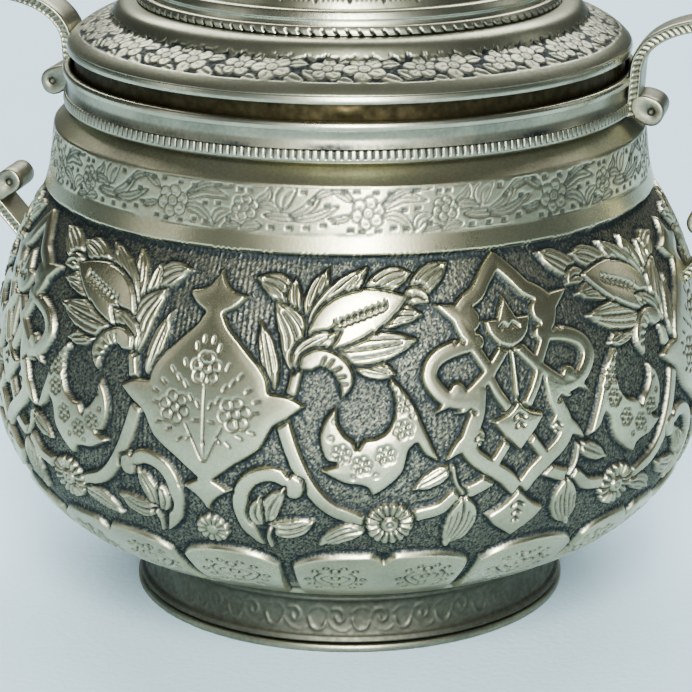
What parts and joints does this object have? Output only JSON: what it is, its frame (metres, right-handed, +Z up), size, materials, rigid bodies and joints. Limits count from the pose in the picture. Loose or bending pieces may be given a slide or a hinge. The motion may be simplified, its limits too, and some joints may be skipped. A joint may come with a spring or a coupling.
{
  "type": "lidded sugar bowl",
  "caption": "Chased silver sugar bowl with a bulbous body, ring foot, two ear handles and a lift-off lid with a bud finial.",
  "frame": {"origin": "centre of the flat ring that the foot stands on", "axes": "+Z up along the bowl's axis, +X to the bowl's right with the handles turned 13.5 degrees from it, the right one towards -Y; -Y is the front"},
  "size_m": [0.1378, 0.1118, 0.1277],
  "materials": {
    "chased_silver": "chased and matted silver, blackened in the recesses, burnished on the raised work",
    "lid_silver": "engraved silver, soft polish with tarnish in the cuts",
    "plain_silver": "plain silver with a soft hand polish and a warm tarnish",
    "wire_silver": "drawn silver wire, bright where it is rubbed",
    "handle_silver": "cast and filed silver with notched edges",
    "foot_silver": "chased silver with a dark olive tarnish",
    "bezel_silver": "unpolished silver strip with a brown tarnish",
    "fitting_silver": "filed silver, unpolished"
  },
  "bodies": {
    "bowl": {"bowl_body": "chased_silver", "foot_ring": "foot_silver", "foot_wire": "wire_silver", "neck_wire": "wire_silver", "neck_collar": "plain_silver", "rim_wire": "wire_silver", "handle_right": "handle_silver", "handle_left": "handle_silver"},
    "lid": {"lid_edge_wire": "wire_silver", "lid_flange": "lid_silver", "lid_bezel": "bezel_silver", "lid_notched_wire": "wire_silver", "lid_dome": "lid_silver", "lid_half_round_wire": "wire_silver", "finial_collet": "plain_silver", "finial_bud": "plain_silver", "finial_stud": "fitting_silver", "finial_washer": "fitting_silver", "finial_nut": "fitting_silver"}
  },
  "joints": [
    {"name": "lid_lift", "type": "slide", "parent": "bowl", "child": "lid", "axis": [0, 0, 1], "range_m": [0, 0.06]}
  ]
}
